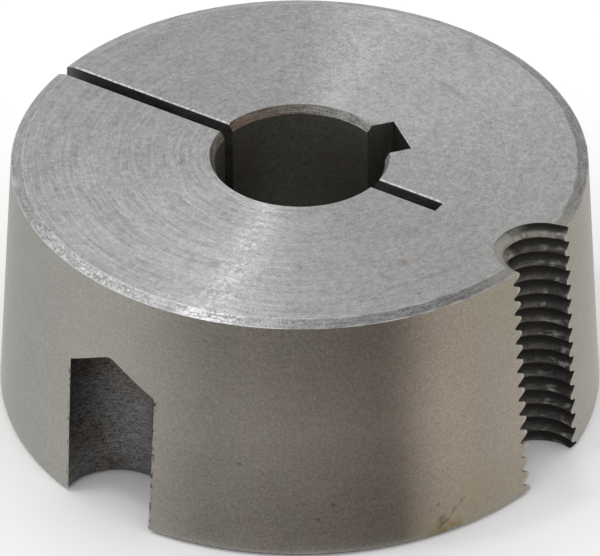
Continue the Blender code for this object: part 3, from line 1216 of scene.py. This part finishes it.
# What the steel mirrors: a table and walls of unequal grey, which only its reflections show.
# Each row is a direction round the bushing in degrees from the studio's X, its level, and how
# warm its grey is
TABLE_LEVELS = (
    (-180.0, 0.80, 0.15), (-170.0, 0.80, 0.2), (-160.0, 0.77, 0.28), (-146.0, 0.56, 0.33),
    (-135.0, 0.43, 0.37), (-126.0, 0.335, 0.42), (-110.0, 0.355, 0.56), (-92.0, 0.290, 0.62),
    (-76.0, 0.258, 0.88), (-60.0, 0.200, 0.95), (-52.0, 0.205, 1.0), (-42.0, 0.56, 1.0),
    (-34.0, 0.75, 1.0), (-28.0, 0.79, 0.98), (-18.0, 0.74, 0.88), (0.0, 0.84, 0.68),
    (40.0, 0.78, 0.35), (60.0, 0.82, 0.3), (80.0, 0.90, 0.1), (100.0, 1.0, 0.0),
    (106.0, 0.74, 0.0), (124.0, 0.67, 0.0), (140.0, 0.68, 0.0), (156.0, 0.73, 0.1),
    (170.0, 0.78, 0.15), (180.0, 0.80, 0.15),
)
WALL_LEVELS = (
    (-180.0, 0.71, 0.0), (-150.0, 0.58, 0.1), (-120.0, 0.42, 0.3), (-90.0, 0.34, 0.5),
    (-52.0, 0.26, 0.5), (-44.0, 0.47, 0.6), (0.0, 0.43, 0.4), (60.0, 0.52, 0.2),
    (90.0, 0.88, 0.0), (121.0, 0.83, 0.0), (180.0, 0.71, 0.0),
)
WARM_GREY = (1.0, 0.85, 0.735)
CEILING_LEVEL = 0.66
CEILING_FROM = math.radians(50.0)
CEILING_TO = math.radians(75.0)
SURROUND_STEPS = 180
WALL_STEPS = 24
WALL_RADIUS = 1.5
LOWEST_WALL = math.radians(0.5)
HIGHEST_WALL = math.radians(89.5)
TABLE_LIFT = 0.3 * MM
TABLE_FROM_RADIUS = 29.0 * MM
# The step that lies straight behind the bushing, three quarters of the way round from the left
STEP_BEHIND = SURROUND_STEPS * 3 // 4


def grey_at(levels, angle):
    """The grey in a direction, read between its neighbours, as a colour."""
    degrees = math.degrees(angle)
    for (start, *low), (end, *high) in zip(levels, levels[1:]):
        if start <= degrees <= end:
            share = (degrees - start) / (end - start)
            level, warmth = (a + (b - a) * share for a, b in zip(low, high))
            return Vector([level * (1.0 - warmth * (1.0 - part)) for part in WARM_GREY])
    raise ValueError(f"no level at {degrees} degrees")


def mirrored_rim(angle, reach):
    """Where the ray that the taper mirrors in a direction has left the bushing and gone on."""
    ahead = angle if angle <= math.pi / 2.0 else angle - math.tau
    facing = (ahead - math.pi / 2.0) / 2.0
    foot = studio_point(math.cos(facing), math.sin(facing), 0.0) * TABLE_FROM_RADIUS
    away = studio_point(math.cos(angle), math.sin(angle), 0.0)
    return foot + away * reach + Vector((0.0, 0.0, TABLE_LIFT))


def surround_rings():
    """Rings of (place, grey) for each direction, from the bushing's foot out and up the walls."""
    angles = [math.tau * step / SURROUND_STEPS - math.pi for step in range(SURROUND_STEPS)]
    rings = []
    for reach in (0.0, WALL_RADIUS):
        rings.append(
            [(mirrored_rim(angle, reach), grey_at(TABLE_LEVELS, angle)) for angle in angles]
        )
    ceiling = Vector((CEILING_LEVEL,) * 3)
    for step in range(WALL_STEPS + 1):
        rise = LOWEST_WALL + (HIGHEST_WALL - LOWEST_WALL) * step / WALL_STEPS
        share = min(max((rise - CEILING_FROM) / (CEILING_TO - CEILING_FROM), 0.0), 1.0)
        radius, height = WALL_RADIUS * math.cos(rise), WALL_RADIUS * math.sin(rise)
        rings.append(
            [
                (
                    studio_point(radius * math.cos(angle), radius * math.sin(angle), height),
                    grey_at(WALL_LEVELS, angle).lerp(ceiling, share),
                )
                for angle in angles
            ]
        )
    return rings


def add_surround():
    """The walls and the table that the steel mirrors."""
    material = new_material("studio_greys")
    material.cycles.emission_sampling = "NONE"
    tree = material.node_tree
    tree.nodes.clear()
    grey = add(tree, "ShaderNodeAttribute", attribute_name="grey")
    glow = add(tree, "ShaderNodeEmission", {"Color": grey.outputs["Color"]})
    end = tree.nodes.new("ShaderNodeOutputMaterial")
    tree.links.new(glow.outputs[0], end.inputs["Surface"])

    rings = surround_rings()
    corners = [place for ring in rings for place, grey in ring]
    greys = [part for ring in rings for place, grey in ring for part in (*grey, 1.0)]
    faces = []
    for ring in range(len(rings) - 1):
        for step in range(SURROUND_STEPS):
            # The strip straight behind the bushing starts under it, so it is left open
            if ring > 0 or step != STEP_BEHIND:
                after = (step + 1) % SURROUND_STEPS
                low, high = ring * SURROUND_STEPS, (ring + 1) * SURROUND_STEPS
                faces.append((low + step, low + after, high + after, high + step))
    surround = stage_mesh("studio_greys", corners, faces, material)
    grey_of_corners = surround.data.attributes.new("grey", "FLOAT_COLOR", "POINT")
    grey_of_corners.data.foreach_set("color", greys)
    surround.visible_camera = False
    surround.visible_diffuse = False
    surround.visible_transmission = False
    surround.visible_volume_scatter = False
    surround.visible_shadow = False


# The soft boxes: the name, place in the studio, size and power of each, and where they aim
LAMPS = (
    ("overhead_box", (-0.162, 0.0, 0.60), 0.05, 0.29),
    ("left_box", (-0.30, 0.08, 0.52), 0.22, 0.05),
)
LAMP_TARGET = (0.0, 0.0, 12.0 * MM)


def add_lamp(name, place, size, power):
    """A square soft box over the bushing."""
    data = bpy.data.lights.new(name, "AREA")
    data.shape = "SQUARE"
    data.size = size
    data.energy = power
    lamp = new_object(name, data)
    lamp.location = studio_point(*place)
    aim(lamp, Vector(LAMP_TARGET))


def set_world():
    """Even pale light from all round."""
    world = bpy.data.worlds.new("studio")
    world.use_nodes = True
    background = world.node_tree.nodes["Background"]
    background.inputs["Color"].default_value = (1.0, 1.0, 1.0, 1.0)
    background.inputs["Strength"].default_value = 1.0
    bpy.context.scene.world = world


finishes = {make.__name__: make() for make in FINISHES}
bushing = make_bushing(finishes)
finish_shading(bushing)
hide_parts("bushing")
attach(bushing, "root")

add_camera()
add_floor()
add_surround()
for lamp in LAMPS:
    add_lamp(*lamp)
set_world()
bpy.context.scene.view_settings.view_transform = "Standard"
